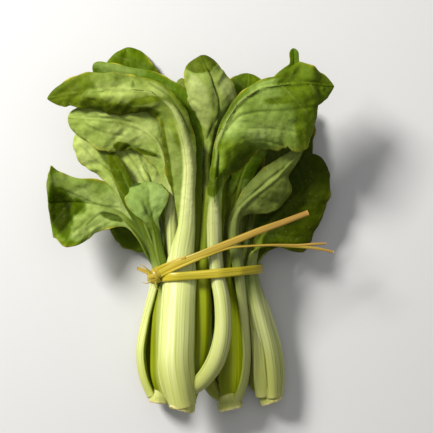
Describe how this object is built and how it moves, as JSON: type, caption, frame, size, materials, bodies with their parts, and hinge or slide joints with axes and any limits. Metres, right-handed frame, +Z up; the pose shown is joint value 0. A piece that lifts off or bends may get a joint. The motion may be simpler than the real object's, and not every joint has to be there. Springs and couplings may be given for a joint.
{
  "type": "bok choy",
  "caption": "Tied bunch of bok choy lying on its side, pale stalks gathered by a dry straw band, green leaves fanned out.",
  "frame": {"origin": "bottom centre of the bounding box, on the table that the bunch lies on", "axes": "+Y along the bunch from the cut ends to the leaves, +X to the right seen from above, +Z up"},
  "size_m": [0.2126, 0.2781, 0.0723],
  "materials": {
    "pale_stalk": "satin",
    "green_blade": "satin",
    "pale_blade": "matte",
    "dry_straw": "matte"
  },
  "bodies": {
    "root": {"left_head": "pale_stalk", "front_head": "pale_stalk", "middle_head": "pale_stalk", "right_head": "pale_stalk", "front_leaf_a": "pale_blade", "front_leaf_b": "pale_blade", "front_leaf_c": "pale_blade", "front_leaf_d": "green_blade", "front_leaf_e": "pale_blade", "front_leaf_f": "green_blade", "left_leaf_a": "pale_blade", "left_leaf_b": "pale_blade", "left_leaf_c": "green_blade", "left_leaf_d": "green_blade", "left_leaf_e": "pale_blade", "left_leaf_f": "green_blade", "middle_leaf_a": "green_blade", "middle_leaf_b": "pale_blade", "middle_leaf_c": "green_blade", "middle_leaf_d": "green_blade", "middle_leaf_e": "pale_blade", "middle_leaf_f": "green_blade", "right_leaf_a": "green_blade", "right_leaf_b": "green_blade", "right_leaf_c": "green_blade", "right_leaf_d": "pale_blade", "right_leaf_e": "pale_blade", "straw_tie": "dry_straw"}
  },
  "joints": []
}
